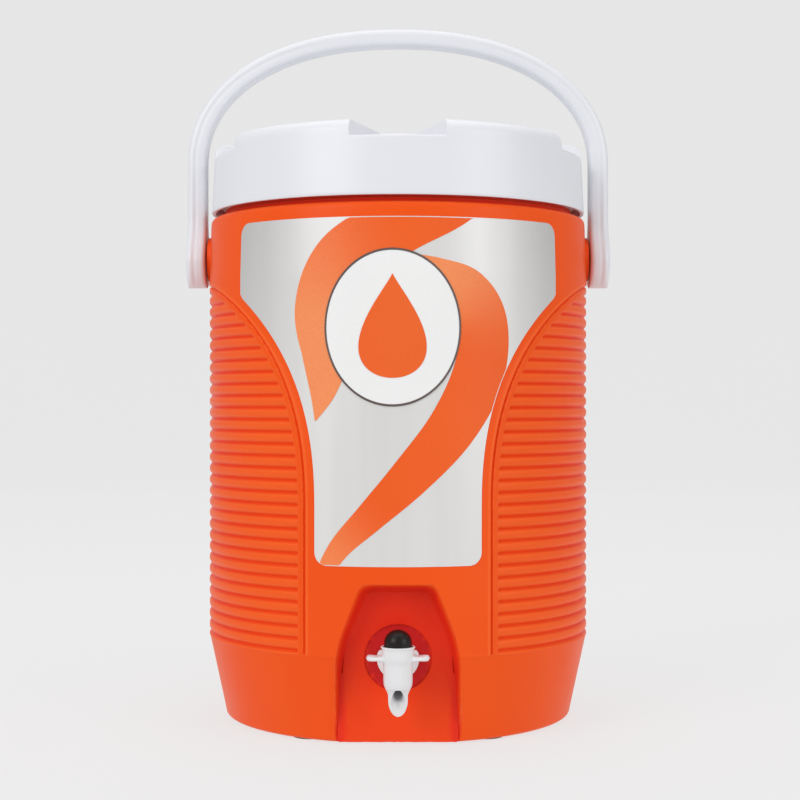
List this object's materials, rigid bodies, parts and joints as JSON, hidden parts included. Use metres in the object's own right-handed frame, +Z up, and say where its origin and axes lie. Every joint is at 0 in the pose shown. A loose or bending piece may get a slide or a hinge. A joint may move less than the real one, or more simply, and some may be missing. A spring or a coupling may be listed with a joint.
{
  "type": "beverage dispenser",
  "caption": "Round insulated drinks cooler with ribbed body, finger-notched pull-off lid, swinging carry bail and a recessed push-button tap at the foot.",
  "frame": {"origin": "on the floor plane under the feet, on the body's vertical axis", "axes": "+Z up along the body's axis; -Y towards the tap at the front; X along the bail's swing axis, +X to the right seen from the front"},
  "size_m": [0.297, 0.2827, 0.4815],
  "materials": {
    "jacket": "orange moulded polyethylene, satin",
    "liner": "white food-grade plastic, smooth",
    "foam": "rigid insulating foam, sealed in",
    "foot_rubber": "dark rubber, matt",
    "label": null,
    "white_plastic": "cool white moulded plastic, satin",
    "steel": "stainless steel",
    "black_plastic": "black plastic, matt",
    "brass_insert": "brass, machined",
    "seal_rubber": "dark grey sealing rubber",
    "button_plastic": "black plastic, glossy"
  },
  "bodies": {
    "cooler": {"outer_shell": "jacket", "inner_liner": "liner", "foam_core": "foam", "foam_fill_plug": "jacket", "foot_front_left": "foot_rubber", "foot_front_right": "foot_rubber", "foot_rear_left": "foot_rubber", "foot_rear_right": "foot_rubber", "front_label": "label", "pivot_screw_left": "steel", "pivot_screw_right": "steel", "pivot_washer_left": "black_plastic", "pivot_washer_right": "black_plastic", "pivot_insert_left": "brass_insert", "pivot_insert_right": "brass_insert", "faucet_body": "white_plastic", "valve_seat": "white_plastic", "stem_guide": "black_plastic", "stem_oring": "seal_rubber", "return_spring": "steel", "outer_gasket": "seal_rubber", "inner_gasket": "seal_rubber", "lock_nut": "white_plastic", "shank_spacer": "black_plastic"},
    "bail": {"bail_handle": "white_plastic"},
    "lid_seal": {"lid_gasket": "seal_rubber"},
    "lid": {"lid_shell": "white_plastic", "lid_liner": "liner", "lid_foam": "foam"},
    "button": {"push_button": "button_plastic", "valve_stem": "black_plastic", "valve_disc": "seal_rubber"}
  },
  "joints": [
    {"name": "bail_swing", "type": "hinge", "parent": "cooler", "child": "bail", "pos_m": [0, 0, 0.319], "axis": [1, 0, 0], "range_deg": [-107, 107]},
    {"name": "lid_lift", "type": "slide", "parent": "cooler", "child": "lid_seal", "axis": [0, 0, 1], "range_m": [0, 0.018]},
    {"name": "lid_turn", "type": "hinge", "parent": "lid_seal", "child": "lid", "pos_m": [0, 0, 0.36], "axis": [0, 0, 1], "continuous": true},
    {"name": "button_press", "type": "slide", "parent": "cooler", "child": "button", "axis": [0, 0, -1], "range_m": [0, 0.0032], "stiffness_N_per_m": 900, "springref_m": -0.004, "deforming": ["return_spring"]}
  ]
}
